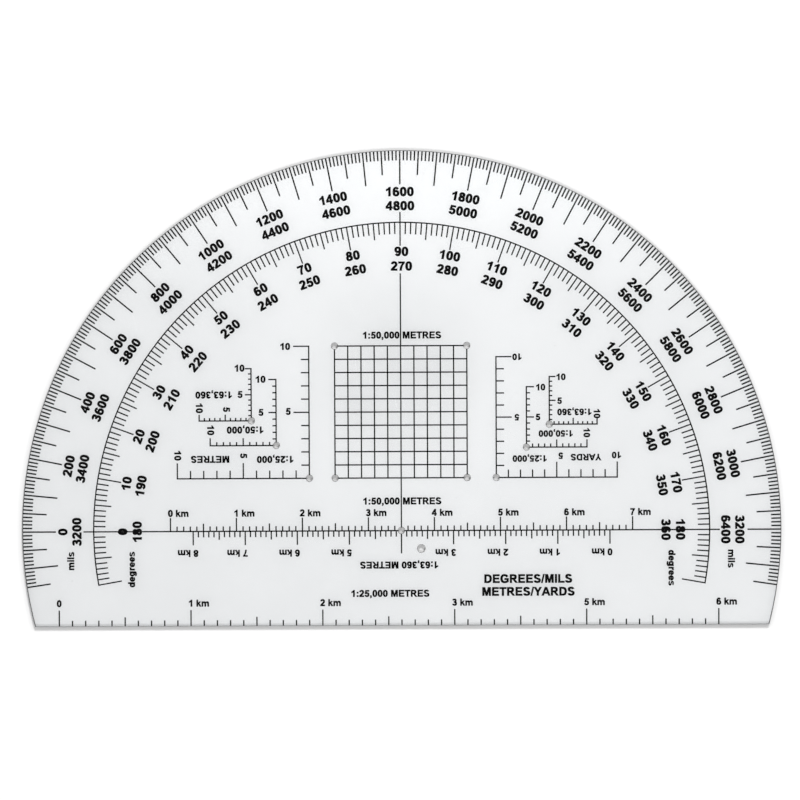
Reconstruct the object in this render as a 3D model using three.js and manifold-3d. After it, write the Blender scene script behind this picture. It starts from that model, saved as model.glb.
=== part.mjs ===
// Map protractor: a clear plastic sheet, a circle cut off by one straight edge, with scales printed in
// black on its upper face and small pencil holes drilled through print and sheet.
// Millimetres. +X runs along the straight edge, +Y away from it, +Z out of the printed face.
// The drawing is laid out from the protractor's centre, which is its centre hole.
import * as THREE from 'three';
import { mergeVertices } from 'three/addons/utils/BufferGeometryUtils.js';
import Module from 'manifold-3d';

const wasm = await Module();
wasm.setup();

// Sheet
const sheetRadius = 115;
const sheetThickness = 1.5;
const centreToStraightEdge = 28.9;
const sheetArcSteps = 120;

// Pencil holes
const pencilHoleDiameter = 1.9;
const spareHoleDiameter = 2.3;
const spareHoleRight = 6;
const spareHoleBelow = 5.5;
const holeFacets = 16;
const cutOverrun = 1;

// Ink
const inkThickness = 0.03;
const lineWidth = 0.4;
const inkToEdge = 0.15;
const joiningLineWidth = 0.12;

// Map scales, one to so many, and a kilometre of ground as it is printed at the middle one
const printedKilometre = 20;
const smallMap = 63360;
const middleMap = 50000;
const largeMap = 25000;
const metresPerYard = 0.9144;

// Mil scale round the rim, 6400 mils to the turn, numbered from the left end of the base line
const milsPerTurn = 6400;
const milsPastBaseLine = 150;
const milStep = 10;
const rimTicks = { short: 2.9, half: 7.2, long: 10.1 };
const rimNumeralBand = 11.45;

// Degree scale inside the mil numerals, an arc with its own two rows of numerals
const degreesPastBaseLine = 10;
const arcTicks = { short: 3.55, half: 5.05, long: 7.1 };
const arcNumeralBand = 7.5;
const lineOutsideArc = 3.1;

// Distance scales on both sides of the base line, and the one on the straight edge
const hectometresPerKilometre = 10;
const upperTicks = { short: 1.5, half: 2.35, long: 4.1 };
const lowerTicks = { short: 1.8, half: 2.55, long: 4.2 };
const edgeTicks = { short: 1.9, half: 2.9, long: 5 };
const edgeScaleToCorner = 7.35;
const upperScaleToNumerals = 8.3;

// North line
const northLineToNumerals = 0.8;
const northLineTail = 6.9;

// Map square with its ten by ten cells
const squareCells = 10;
const squareKilometres = 2;
const squareRise = 16;

// Romers: nested right angles, metres on the left of the square and yards on its right, each arm a
// thousand units long. Their corners lie at these shares of the room from the square to the numerals.
const romerDivisions = 10;
const metreCornerShares = [0.133, 0.303, 0.431];
const yardCornerShares = [0.15, 0.306, 0.424];
const largeRomerTicks = { short: 2.4, half: 4.7 };
const middleRomerTicks = { short: 1.1, half: 2.3 };
const smallRomerTicks = { short: 0.9, half: 1.9 };

// Places that follow from the sizes above
const rimRadius = sheetRadius - inkToEdge;
const arcRadius = rimRadius - rimTicks.long - rimNumeralBand;
const baseLineEnd = arcRadius - arcTicks.long;
const insideNumerals = baseLineEnd - arcNumeralBand;
const distanceScaleRoom = insideNumerals - upperScaleToNumerals;
const northLineTop = insideNumerals - northLineToNumerals;
const straightEdge = -centreToStraightEdge;
const straightEdgeHalf = Math.sqrt(sheetRadius ** 2 - centreToStraightEdge ** 2);
const squareSide = squareKilometres * printedKilometre;
const squareHalf = squareSide / 2;
const squareTop = squareRise + squareSide;

const sheetMaterial = { color: 0xe4e7e7, roughness: 0.12, metalness: 0 };
const inkMaterial = { color: 0x0b0b0c, roughness: 0.5, metalness: 0 };

// A kilometre of ground as it is printed at a map's scale.
const kilometreAt = (map) => printedKilometre * middleMap / map;

const at = (x, y) => new THREE.Vector2(x, y);
const polar = (degrees, radius) => {
  const angle = THREE.MathUtils.degToRad(degrees);
  return at(radius * Math.cos(angle), radius * Math.sin(angle));
};

// A closed geometry as a solid that can be cut and joined.
function solidOf(geometry) {
  const bare = geometry.clone();
  bare.deleteAttribute('normal');
  bare.deleteAttribute('uv');
  const merged = mergeVertices(bare);
  return new wasm.Manifold(new wasm.Mesh({
    numProp: 3,
    vertProperties: merged.attributes.position.array,
    triVerts: new Uint32Array(merged.index.array),
  }));
}

function geometryOf(solid) {
  const { numProp, vertProperties, triVerts } = solid.getMesh();
  const geometry = new THREE.BufferGeometry();
  geometry.setAttribute('position', new THREE.BufferAttribute(vertProperties, numProp));
  geometry.setIndex(new THREE.BufferAttribute(triVerts, 1));
  geometry.computeVertexNormals();
  return geometry;
}

function slab(outline, thickness) {
  const shape = new THREE.Shape(outline);
  return solidOf(new THREE.ExtrudeGeometry(shape, { depth: thickness, bevelEnabled: false }));
}

// A straight printed line from one point to another.
function stroke(from, to, width = lineWidth) {
  const side = to.clone().sub(from).normalize().rotateAround(at(0, 0), Math.PI / 2);
  side.multiplyScalar(width / 2);
  const start = [from.clone().add(side), from.clone().sub(side)];
  const end = [to.clone().sub(side), to.clone().add(side)];
  return slab([...start, ...end], inkThickness);
}

const joined = (solids) => solids.reduce((whole, solid) => whole.add(solid));

// A point off a circle's radius by half a line's width, ahead of it or behind it.
const beside = (degrees, radius, side) => (
  polar(degrees, radius).add(polar(degrees + 90, side * lineWidth / 2)));

// An upright tick at x, from the edge of the line that carries it to its tip.
const tick = (x, edge, tip) => stroke(at(x, edge), at(x, tip));

// A printed line along a circle with ticks on it, as one outline: out along its outer edge and back
// along its inner edge. A mark is a place in degrees with its reach, the radius at which it ends.
function ruledArc(innerRadius, outerRadius, outerMarks, innerMarks) {
  const along = (marks, edge, side) => marks.flatMap(({ degrees, reach }) => (reach === edge
    ? [polar(degrees, edge)]
    : [beside(degrees, edge, -side), beside(degrees, reach, -side),
      beside(degrees, reach, side), beside(degrees, edge, side)]));
  const outer = along(outerMarks.slice(1, -1), outerRadius, 1);
  const inner = along([...innerMarks].reverse(), innerRadius, -1);
  const first = beside(outerMarks[0].degrees, outerRadius, -1);
  const last = beside(outerMarks.at(-1).degrees, outerRadius, 1);
  return slab([first, ...outer, last, ...inner], inkThickness);
}

// Whole numbers from one end of a scale to the other, both ends included.
const countUp = (from, to, step) => (
  Array.from({ length: Math.round((to - from) / step) + 1 }, (_, i) => from + i * step));

// A cutter for one drilled hole, long enough to pass through sheet and ink from either's own level.
function holeCutter(centre, diameter) {
  const length = sheetThickness + inkThickness + 2 * cutOverrun;
  const cylinder = new THREE.CylinderGeometry(diameter / 2, diameter / 2, length, holeFacets);
  cylinder.rotateX(Math.PI / 2);
  cylinder.translate(centre.x, centre.y, length / 2 - cutOverrun);
  return solidOf(cylinder);
}

// Tick length at a place on a scale that counts in tens: every tenth is long and every fifth is half.
const tickOfTen = (count, ticks) => {
  if (count % 10 === 0) return ticks.long;
  return count % 5 === 0 ? ticks.half : ticks.short;
};

// The corners of the nested romers, the largest first, stepping up and outwards alike.
function romerCorners(direction, shares) {
  const steps = shares.map((share) => share * (insideNumerals - squareHalf));
  return steps.map((step) => at(direction * (squareHalf + step), squareRise + step - steps[0]));
}

const metreCorners = romerCorners(-1, metreCornerShares);
const yardCorners = romerCorners(1, yardCornerShares);
const squareCorners = [-1, 1].flatMap((side) => (
  [squareRise, squareTop].map((y) => at(side * squareHalf, y))));

const pencilHoles = [at(0, 0), ...squareCorners, ...metreCorners, ...yardCorners];
const pencilCutters = pencilHoles.map((centre) => holeCutter(centre, pencilHoleDiameter));
const spareCutter = holeCutter(at(spareHoleRight, -spareHoleBelow), spareHoleDiameter);
const drill = joined([...pencilCutters, spareCutter]);
const cornerDrill = holeCutter(at(0, 0), pencilHoleDiameter);

function clearSheet() {
  const pastLevel = THREE.MathUtils.radToDeg(Math.asin(centreToStraightEdge / sheetRadius));
  const outline = countUp(0, sheetArcSteps, 1).map((step) => (
    polar(THREE.MathUtils.lerp(-pastLevel, 180 + pastLevel, step / sheetArcSteps), sheetRadius)));
  return slab(outline, sheetThickness).subtract(drill);
}

// Ticks of the rim scale. A very thin line at their outer ends holds them together as one piece.
function milScale() {
  const lastMil = milsPerTurn / 2 + milsPastBaseLine;
  const reachOf = (mil) => rimRadius - tickOfTen(mil / milStep, rimTicks);
  const marks = (step, reach) => countUp(-milsPastBaseLine, lastMil, step).reverse().map((mil) => (
    { degrees: 180 - mil * 360 / milsPerTurn, reach: reach(mil) }));
  const bends = marks(5 * milStep, () => rimRadius);
  return ruledArc(rimRadius - joiningLineWidth, rimRadius, bends, marks(milStep, reachOf));
}

// The degree arc with its ticks, and the base and north lines where they pass outside the arc.
function degreeScale() {
  const lastDegree = 180 + degreesPastBaseLine;
  const outerEdge = arcRadius + lineWidth / 2;
  const crossed = (degrees) => degrees >= 0 && degrees <= 180 && degrees % 90 === 0;
  const ticks = countUp(-degreesPastBaseLine, lastDegree, 1).map((degrees) => (
    { degrees, reach: arcRadius - tickOfTen(degrees, arcTicks) }));
  const bends = countUp(-degreesPastBaseLine, lastDegree, 2).map((degrees) => (
    { degrees, reach: crossed(degrees) ? arcRadius + lineOutsideArc : outerEdge }));
  return ruledArc(arcRadius - lineWidth / 2, outerEdge, bends, ticks);
}

// One half of the base line, side -1 on the left and 1 on the right, with the ticks that stand on it
// and hang from it. Both scales are centred on the protractor's centre, where no tick is drawn.
function baseScale(side) {
  const rows = [
    { kilometre: kilometreAt(middleMap), ticks: upperTicks, up: 1 },
    { kilometre: kilometreAt(smallMap), ticks: lowerTicks, up: -1 },
  ];
  const strokes = [stroke(at(0, 0), at(side * baseLineEnd, 0))];
  for (const { kilometre, ticks, up } of rows) {
    const division = kilometre / hectometresPerKilometre;
    const half = Math.floor(2 * distanceScaleRoom / kilometre) * hectometresPerKilometre / 2;
    for (let count = 1; count <= half; count += 1) {
      strokes.push(tick(side * count * division, up * lineWidth / 2, up * tickOfTen(half + count, ticks)));
    }
  }
  return joined(strokes).subtract(cornerDrill);
}

// Ticks on the straight edge, held together by a very thin line like those of the rim.
function edgeScale() {
  const division = kilometreAt(largeMap) / hectometresPerKilometre;
  const room = 2 * (straightEdgeHalf - edgeScaleToCorner);
  const divisions = 5 * Math.floor(room / (5 * division));
  const start = edgeScaleToCorner - straightEdgeHalf;
  const end = start + divisions * division;
  const foot = straightEdge + inkToEdge;
  const level = foot + joiningLineWidth / 2;
  const strokes = [
    stroke(at(start - lineWidth / 2, level), at(end + lineWidth / 2, level), joiningLineWidth)];
  for (let count = 0; count <= divisions; count += 1) {
    strokes.push(
      tick(start + count * division, foot + joiningLineWidth, straightEdge + tickOfTen(count, edgeTicks)));
  }
  return joined(strokes);
}

// The square's lines both ways, left between its cells. Its middle upright is the part of the north
// line that crosses it.
function mapSquare() {
  const cell = squareSide / squareCells;
  const opening = cell - lineWidth;
  const low = squareRise - lineWidth / 2;
  const whole = stroke(at(0, low), at(0, squareTop + lineWidth / 2), squareSide + lineWidth);
  const cutter = new THREE.BoxGeometry(opening, opening, inkThickness + 2 * cutOverrun);
  const cells = [];
  for (let row = 0; row < squareCells; row += 1) {
    for (let column = 0; column < squareCells; column += 1) {
      const x = (column + 1 / 2) * cell - squareHalf;
      const y = (row + 1 / 2) * cell + squareRise;
      cells.push(solidOf(cutter.clone().translate(x, y, inkThickness / 2)));
    }
  }
  return whole.subtract(joined([...cells, drill]));
}

// One arm of a romer, from the hole at its corner along +X, its ticks on the given side.
function romerArm(division, divisions, ticks, side) {
  const strokes = [stroke(at(0, 0), at(divisions * division + lineWidth / 2, 0))];
  for (let count = 1; count <= divisions; count += 1) {
    const height = count % 5 === 0 ? ticks.half : ticks.short;
    strokes.push(tick(count * division, side * lineWidth / 2, side * height));
  }
  return joined(strokes).subtract(cornerDrill);
}

// Divisions on both arms of the romer at a corner: all ten, or as many as end inside the numerals.
function romerDivisionsAt(corner, division, tickHeight) {
  const roomAcross = (off) => Math.sqrt(insideNumerals ** 2 - (off + tickHeight) ** 2);
  const levelRoom = roomAcross(corner.y) - Math.abs(corner.x);
  const uprightRoom = roomAcross(Math.abs(corner.x)) - corner.y;
  return Math.min(romerDivisions, Math.floor(Math.min(levelRoom, uprightRoom) / division));
}

function meshOf(name, solid, look) {
  const mesh = new THREE.Mesh(geometryOf(solid), new THREE.MeshStandardMaterial(look));
  mesh.name = name;
  return mesh;
}

const inkMesh = (name, solid) => meshOf(name, solid, inkMaterial);

function romers(unitName, metresPerUnit, direction, corners) {
  const group = new THREE.Group();
  const maps = [[largeMap, largeRomerTicks], [middleMap, middleRomerTicks], [smallMap, smallRomerTicks]];
  maps.forEach(([map, ticks], i) => {
    const name = `${unitName}_romer_${map}`;
    const division = kilometreAt(map) * metresPerUnit / romerDivisions;
    const divisions = romerDivisionsAt(corners[i], division, ticks.half);
    const level = inkMesh(`${name}_level_print`, romerArm(division, divisions, ticks, direction));
    level.rotation.z = direction > 0 ? 0 : Math.PI;
    const upright = inkMesh(`${name}_upright_print`, romerArm(division, divisions, ticks, -direction));
    upright.rotation.z = Math.PI / 2;
    const corner = new THREE.Group();
    corner.position.set(corners[i].x, corners[i].y, 0);
    corner.add(level, upright);
    group.add(corner);
  });
  return group;
}

// All of the print, at its own level: its underside is the sheet's upper face.
function print() {
  const group = new THREE.Group();
  group.position.z = sheetThickness;
  const squareUpperSide = squareTop + lineWidth / 2;
  const squareLowerSide = squareRise - lineWidth / 2;
  group.add(
    inkMesh('mil_scale_print', milScale()),
    inkMesh('degree_scale_print', degreeScale()),
    inkMesh('base_scale_left_print', baseScale(-1)),
    inkMesh('base_scale_right_print', baseScale(1)),
    inkMesh('edge_scale_print', edgeScale()),
    inkMesh('map_square_print', mapSquare()),
    inkMesh('north_line_upper_print', stroke(at(0, northLineTop), at(0, squareUpperSide))),
    inkMesh('north_line_lower_print', stroke(at(0, squareLowerSide), at(0, 0)).subtract(cornerDrill)),
    inkMesh('north_line_tail_print', stroke(at(0, 0), at(0, -northLineTail)).subtract(cornerDrill)),
    romers('metre', 1, -1, metreCorners),
    romers('yard', metresPerYard, 1, yardCorners),
  );
  return group;
}

// The origin is the middle of the underside's bounding box, so the centre hole lies off it.
const protractor = new THREE.Group();
const drawing = new THREE.Group();
drawing.position.y = (centreToStraightEdge - sheetRadius) / 2;
drawing.add(meshOf('clear_sheet', clearSheet(), sheetMaterial), print());
protractor.add(drawing);

export default protractor;
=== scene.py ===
"""Map protractor: a clear plastic sheet with drilled pencil holes, and scales printed on it in black.

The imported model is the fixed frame. The sheet is built again with fine edges and hole walls, the ticks on its
rim and straight edge again as separate strokes, and the numerals and words are added. Lengths are in metres.
Places on the drawing are counted from the protractor's centre, which is its centre hole.
"""

import math
from collections import Counter

import bpy
from bpy.props import FloatProperty, FloatVectorProperty, PointerProperty
from bpy.types import Operator, Panel, PropertyGroup
from mathutils import Euler, Matrix, Vector
from mathutils.geometry import delaunay_2d_cdt


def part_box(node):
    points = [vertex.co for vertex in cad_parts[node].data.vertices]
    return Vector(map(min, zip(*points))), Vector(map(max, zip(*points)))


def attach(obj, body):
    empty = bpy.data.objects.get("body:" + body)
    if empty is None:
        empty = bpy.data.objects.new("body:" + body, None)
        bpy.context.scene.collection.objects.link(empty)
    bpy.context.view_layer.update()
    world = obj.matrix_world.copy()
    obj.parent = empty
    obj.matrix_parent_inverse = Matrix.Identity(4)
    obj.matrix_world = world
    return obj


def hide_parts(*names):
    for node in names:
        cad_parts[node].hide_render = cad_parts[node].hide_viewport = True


bl_info = {
    "name": "Map Protractor",
    "version": (1, 0, 0),
    "blender": (4, 5, 0),
    "location": "View3D > Sidebar > Map Protractor",
    "description": "Builds a clear map protractor with its printed scales, numerals and words",
    "category": "Add Mesh",
}

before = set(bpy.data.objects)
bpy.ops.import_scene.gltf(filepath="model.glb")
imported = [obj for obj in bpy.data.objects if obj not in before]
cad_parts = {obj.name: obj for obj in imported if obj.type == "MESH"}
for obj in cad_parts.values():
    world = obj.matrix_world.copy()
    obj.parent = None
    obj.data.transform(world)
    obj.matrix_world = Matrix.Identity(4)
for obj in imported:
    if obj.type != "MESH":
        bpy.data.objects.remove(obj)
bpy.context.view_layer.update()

MM = 0.001
ORIGIN = Vector((0, 0))

# Places taken from the frame. The centre lies one radius below the sheet's top.
sheet_low, sheet_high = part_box("clear_sheet")
rim_low, rim_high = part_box("mil_scale_print")
edge_low, edge_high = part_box("edge_scale_print")
centre_height = sheet_high.y - sheet_high.x

# Map scales and the kilometre of each as it is printed
MAPS = {"1:25,000": 40 * MM, "1:50,000": 20 * MM, "1:63,360": 20 * MM * 50000 / 63360}

# The printed square: half its side, and the heights of its lower and upper side. Its corners are drilled.
SQUARE_HALF = 20 * MM
SQUARE_FOOT = 16 * MM
SQUARE_TOP = SQUARE_FOOT + 2 * SQUARE_HALF

# How far the romers' corners, also drilled, step out from the square, as shares of the room beside it
ROMER_ROOM = 58.7 * MM
METRE_SHARES = (0.133, 0.303, 0.431)
YARD_SHARES = (0.15, 0.306, 0.424)

# The hole beside the centre
SPARE_HOLE_PLACE = Vector((6 * MM, -5.5 * MM))


class ProtractorSheet(PropertyGroup):
    """Sizes of the clear sheet."""

    radius: FloatProperty(
        name="Radius", description="Radius of the round rim", default=sheet_high.x, unit="LENGTH")
    thickness: FloatProperty(
        name="Thickness", description="Thickness of the plastic", default=sheet_high.z, unit="LENGTH")
    centre_to_edge: FloatProperty(
        name="Centre to Edge", description="From the protractor's centre down to the straight edge",
        default=centre_height - sheet_low.y, unit="LENGTH")
    eased_edge: FloatProperty(
        name="Eased Edge", description="Rounding of the cut edges", default=0.15 * MM, unit="LENGTH")
    pencil_hole: FloatProperty(
        name="Pencil Hole", description="Diameter of the pencil holes", default=1.9 * MM, unit="LENGTH")
    spare_hole: FloatProperty(
        name="Spare Hole", description="Diameter of the hole beside the centre", default=2.3 * MM,
        unit="LENGTH")


class ProtractorPrint(PropertyGroup):
    """Sizes of the printed ticks, numerals and words."""

    line: FloatProperty(name="Line", description="Width of a printed line", default=0.4 * MM, unit="LENGTH")
    rim_line: FloatProperty(
        name="Rim Line", description="Width of the ticks on the round rim", default=0.44 * MM, unit="LENGTH")
    spread: FloatProperty(
        name="Spread", description="How far the ink of letters spreads, as a share of their height",
        default=0.036)
    ink: FloatProperty(
        name="Ink", description="Thickness of the ink", default=rim_high.z - rim_low.z, unit="LENGTH")
    ring_numeral: FloatProperty(
        name="Ring Numerals", description="Height of the mil and degree numerals", default=2.66 * MM,
        unit="LENGTH")
    label: FloatProperty(
        name="Labels", description="Height of the other numerals and words", default=2 * MM, unit="LENGTH")
    small_label: FloatProperty(
        name="Small Labels", description="Height of the labels in the yard romers", default=1.87 * MM,
        unit="LENGTH")
    legend: FloatProperty(
        name="Legend", description="Height of the unit legend", default=2.5 * MM, unit="LENGTH")


class ProtractorFinish(PropertyGroup):
    """Colours of the plastic, the ink and the table."""

    plastic: FloatVectorProperty(
        name="Plastic", description="Tint of light that passes the sheet", subtype="COLOR",
        default=(0.92, 0.926, 0.937), min=0, max=1)
    # The cut edges' colours are painted shade. They are darker than their milky plastic, and the round rim is
    # nearly black. They stand in for the dark lines that light bent at the cut edges leaves.
    round_rim_painted_shade: FloatVectorProperty(
        name="Round Rim", description="Colour of the cut round rim", subtype="COLOR",
        default=(0.06, 0.061, 0.063), min=0, max=1)
    sawn_edge_painted_shade: FloatVectorProperty(
        name="Sawn Edge", description="Colour of the sawn straight edge", subtype="COLOR",
        default=(0.36, 0.365, 0.37), min=0, max=1)
    # The holes' walls are grey as painted shade round each hole, not from pencil dust.
    drilled_wall_painted_shade: FloatVectorProperty(
        name="Drilled Wall", description="Colour of the holes' walls, grey with pencil dust", subtype="COLOR",
        default=(0.36, 0.36, 0.36), min=0, max=1)
    ink: FloatVectorProperty(
        name="Ink", description="Colour of the printing ink", subtype="COLOR", default=(0.002, 0.002, 0.002),
        min=0, max=1)
    table: FloatVectorProperty(
        name="Table", description="Colour of the table", subtype="COLOR", default=(0.95, 0.95, 0.95),
        min=0, max=1)


class ProtractorStage(PropertyGroup):
    """Lamps and camera."""

    key: FloatProperty(
        name="Key", description="Share of the light that comes from the lamp behind", default=0.45)
    fill: FloatProperty(
        name="Fill", description="Share of the light that comes from the lamp in front", default=0.22)
    room: FloatProperty(
        name="Room", description="Share of the light that comes from all round", default=0.37)
    lamp_size: FloatProperty(
        name="Lamp Size", description="Side of each lamp's soft panel", default=220 * MM, unit="LENGTH")
    backdrop: FloatProperty(
        name="Backdrop", description="How far the table round the sheet is lifted to white for the camera",
        default=0.16)
    width_seen: FloatProperty(
        name="Width Seen", description="Width of the table in the picture", default=242 * MM, unit="LENGTH")
    lens: FloatProperty(name="Lens", description="Focal length in millimetres", default=150)


class ProtractorSettings(PropertyGroup):
    """Everything about the protractor that a user would change."""

    sheet: PointerProperty(type=ProtractorSheet)
    print: PointerProperty(type=ProtractorPrint)
    finish: PointerProperty(type=ProtractorFinish)
    stage: PointerProperty(type=ProtractorStage)


def settings():
    """The protractor's sizes, colours and lights in this scene."""
    return bpy.context.scene.map_protractor


# Outlines of numerals and letters, in heights of a capital

# Widths of upright and level strokes, steps in a quarter of a round one, and how round it is: 1 is an ellipse
STEM = 0.22
BAR = 0.185
ROUND_STEPS = 8
OVAL = 0.86

# Widths of numerals and of narrow characters, with the space beside them
FIGURE = 0.777
NARROW = 0.388


def block(left, low, right, high):
    """Outline of a straight stroke."""
    return [(left, low), (right, low), (right, high), (left, high)]


def round_point(x, y, wide, high, turn):
    """Point on an oval about (x, y) that is a little squarer than an ellipse."""
    along, up = math.cos(turn), math.sin(turn)
    return (
        x + wide * math.copysign(abs(along) ** OVAL, along),
        y + high * math.copysign(abs(up) ** OVAL, up),
    )


def bowl(x, y, wide, high, start=0, end=360, stem=STEM, bar=BAR):
    """Outlines of a round stroke about (x, y) that reaches wide to the sides and high up and down."""
    halves = math.ceil((end - start) / 180)
    outlines = []
    for half in range(halves):
        first = start + (end - start) * half / halves
        last = start + (end - start) * (half + 1) / halves
        steps = max(2, math.ceil((last - first) / 90 * ROUND_STEPS))
        turns = [math.radians(first + (last - first) * i / steps) for i in range(steps + 1)]
        outer = [round_point(x, y, wide, high, t) for t in turns]
        inner = [round_point(x, y, wide - stem, high - bar, t) for t in reversed(turns)]
        outlines.append(outer + inner)
    return outlines


def half_turned(outlines, width):
    """A character's outlines turned by half a turn."""
    return [[(width - x, 1 - y) for x, y in outline] for outline in outlines]


SIX = [*bowl(0.39, 0.315, 0.335, 0.33), *bowl(0.39, 0.5, 0.335, 0.51, 40, 190)]
UPRIGHT = block(0.1, 0, 0.3, 1)

# Each character's width and its outlines
GLYPHS = {
    "0": (FIGURE, bowl(0.388, 0.5, 0.335, 0.51)),
    "1": (FIGURE, [
        [(0.36, 0), (0.56, 0), (0.56, 1), (0.4, 1), (0.36, 0.93)],
        [(0.11, 0.58), (0.36, 0.71), (0.36, 0.93), (0.26, 0.835), (0.11, 0.755)]]),
    "2": (FIGURE, [
        *bowl(0.37, 0.7, 0.32, 0.31, -35, 172), block(0.03, 0, 0.69, 0.175),
        [(0.03, 0), (0.33, 0.17), (0.5, 0.345), (0.632, 0.522), (0.468, 0.616), (0.2, 0.35), (0.085, 0.19)]]),
    "3": (FIGURE, [
        *bowl(0.36, 0.735, 0.295, 0.275, -88, 165), *bowl(0.37, 0.29, 0.335, 0.305, -165, 92),
        block(0.26, 0.455, 0.4, 0.595)]),
    "4": (FIGURE, [
        block(0.42, 0, 0.61, 1), block(0.02, 0.2, 0.72, 0.365),
        [(0.02, 0.33), (0.18, 0.33), (0.43, 0.715), (0.61, 1), (0.43, 1), (0.02, 0.38)]]),
    "5": (FIGURE, [
        block(0.17, 0.815, 0.675, 0.985), *bowl(0.375, 0.325, 0.335, 0.34, -165, 128),
        [(0.08, 0.455), (0.26, 0.43), (0.325, 0.815), (0.325, 0.985), (0.17, 0.985)]]),
    "6": (FIGURE, SIX),
    "7": (FIGURE, [
        [(0.06, 0.985), (0.06, 0.81), (0.49, 0.81), (0.34, 0.57), (0.235, 0.28), (0.2, 0),
         (0.395, 0), (0.425, 0.29), (0.53, 0.6), (0.715, 0.85), (0.715, 0.985)]]),
    "8": (FIGURE, [*bowl(0.388, 0.735, 0.295, 0.275), *bowl(0.388, 0.285, 0.335, 0.3)]),
    "9": (FIGURE, half_turned(SIX, FIGURE)),
    ":": (0.465, [block(0.13, 0, 0.33, 0.19), block(0.13, 0.535, 0.33, 0.725)]),
    ",": (NARROW, [
        block(0.09, 0, 0.29, 0.19),
        [(0.2, 0.02), (0.29, 0.05), (0.27, -0.12), (0.12, -0.22), (0.085, -0.15), (0.19, -0.06)]]),
    "/": (NARROW, [[(0, -0.02), (0.14, -0.02), (0.39, 1.02), (0.25, 1.02)]]),
    " ": (NARROW, []),
    "d": (0.853, [*bowl(0.375, 0.355, 0.32, 0.375), block(0.565, 0, 0.755, 1)]),
    "e": (FIGURE, [*bowl(0.385, 0.355, 0.345, 0.375, 0, 325), block(0.15, 0.29, 0.73, 0.42)]),
    "g": (0.853, [
        *bowl(0.375, 0.365, 0.32, 0.365), block(0.565, -0.06, 0.755, 0.725),
        *bowl(0.4, -0.05, 0.355, 0.245, -160, 0)]),
    "i": (NARROW, [block(0.1, 0, 0.29, 0.725), block(0.1, 0.83, 0.29, 1)]),
    "k": (FIGURE, [
        block(0.09, 0, 0.28, 1), [(0.26, 0.25), (0.43, 0.42), (0.73, 0.725), (0.5, 0.725), (0.26, 0.47)],
        [(0.34, 0.37), (0.55, 0), (0.78, 0), (0.47, 0.5)]]),
    "l": (NARROW, [block(0.1, 0, 0.29, 1)]),
    "m": (1.242, [
        block(0.09, 0, 0.28, 0.725), block(0.53, 0, 0.72, 0.47), block(0.965, 0, 1.155, 0.47),
        *bowl(0.46, 0.47, 0.26, 0.27, 0, 155), *bowl(0.895, 0.47, 0.26, 0.27, 0, 150)]),
    "r": (0.543, [block(0.09, 0, 0.28, 0.725), *bowl(0.46, 0.44, 0.25, 0.3, 75, 160)]),
    "s": (FIGURE, [
        *bowl(0.37, 0.535, 0.305, 0.205, 18, 250, 0.17, 0.14),
        *bowl(0.385, 0.19, 0.33, 0.205, -165, 70, 0.17, 0.14),
        [(0.2, 0.4), (0.45, 0.27), (0.55, 0.34), (0.3, 0.47)]]),
    "A": (1.008, [
        [(0, 0), (0.215, 0), (0.505, 0.78), (0.615, 1), (0.395, 1)],
        [(0.505, 0.78), (0.79, 0), (1.008, 0), (0.615, 1), (0.45, 1)],
        block(0.25, 0.225, 0.76, 0.39)]),
    "D": (1.008, [
        UPRIGHT, block(0.1, 0.835, 0.48, 1), block(0.1, 0, 0.48, 0.165),
        *bowl(0.48, 0.5, 0.455, 0.5, -90, 90)]),
    "E": (0.932, [
        UPRIGHT, block(0.1, 0.83, 0.84, 1), block(0.1, 0.43, 0.79, 0.595), block(0.1, 0, 0.86, 0.17)]),
    "G": (1.086, [
        *bowl(0.53, 0.5, 0.47, 0.52, 32, 310), block(0.55, 0.37, 1, 0.535), block(0.82, 0.13, 1, 0.535),
        [(0.62, 0.05), (0.83, 0.02), (1, 0.14), (1, 0.28), (0.82, 0.28)]]),
    "I": (NARROW, [UPRIGHT]),
    "L": (0.853, [UPRIGHT, block(0.1, 0, 0.81, 0.17)]),
    "M": (1.163, [
        UPRIGHT, block(0.865, 0, 1.065, 1),
        [(0.1, 1), (0.285, 0.79), (0.485, 0), (0.675, 0), (0.58, 0.315), (0.395, 1)],
        [(0.485, 0), (0.675, 0), (0.88, 0.79), (1.065, 1), (0.765, 1), (0.58, 0.315)]]),
    "R": (1.008, [
        UPRIGHT, block(0.1, 0.835, 0.55, 1), block(0.1, 0.41, 0.55, 0.575),
        *bowl(0.55, 0.705, 0.315, 0.295, -90, 90), [(0.38, 0.45), (0.76, 0), (1.0, 0), (0.62, 0.46)]]),
    "S": (0.932, [
        *bowl(0.45, 0.735, 0.355, 0.28, 15, 262), *bowl(0.46, 0.275, 0.39, 0.29, -170, 85),
        [(0.3, 0.5), (0.6, 0.41), (0.66, 0.5), (0.36, 0.6)]]),
    "T": (0.853, [block(0.03, 0.83, 0.83, 1), block(0.33, 0, 0.53, 1)]),
    "Y": (0.932, [
        [(0.365, 0), (0.565, 0), (0.565, 0.42), (0.91, 1), (0.68, 1), (0.465, 0.6), (0.25, 1), (0.02, 1),
         (0.365, 0.42)]]),
}


# Drawing on the sheet

# The triangulation fills what lies inside the outlines. Points closer than a grain count as one: for letters in
# heights of a capital, for the sheet in metres.
FILL_INSIDE = 1
LETTER_GRAIN = 1e-5
SHEET_GRAIN = 1e-9

# The ink lies this far above the plastic, so that the two don't share a face
INK_LIFT = 0.001 * MM


def on_ring(degrees, radius):
    """Point on a circle about the protractor's centre, counted from the right."""
    turn = math.radians(degrees)
    return Vector((radius * math.cos(turn), radius * math.sin(turn)))


def stroke(start, end, width):
    """Outline of a straight printed line."""
    side = (end - start).orthogonal().normalized() * width / 2
    return [start - side, end - side, end + side, start + side]


def counter_clockwise(outline):
    """The outline, turned round if it runs clockwise."""
    area = sum(a[0] * b[1] - b[0] * a[1] for a, b in zip(outline, outline[1:] + outline[:1]))
    return outline if area > 0 else outline[::-1]


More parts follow.
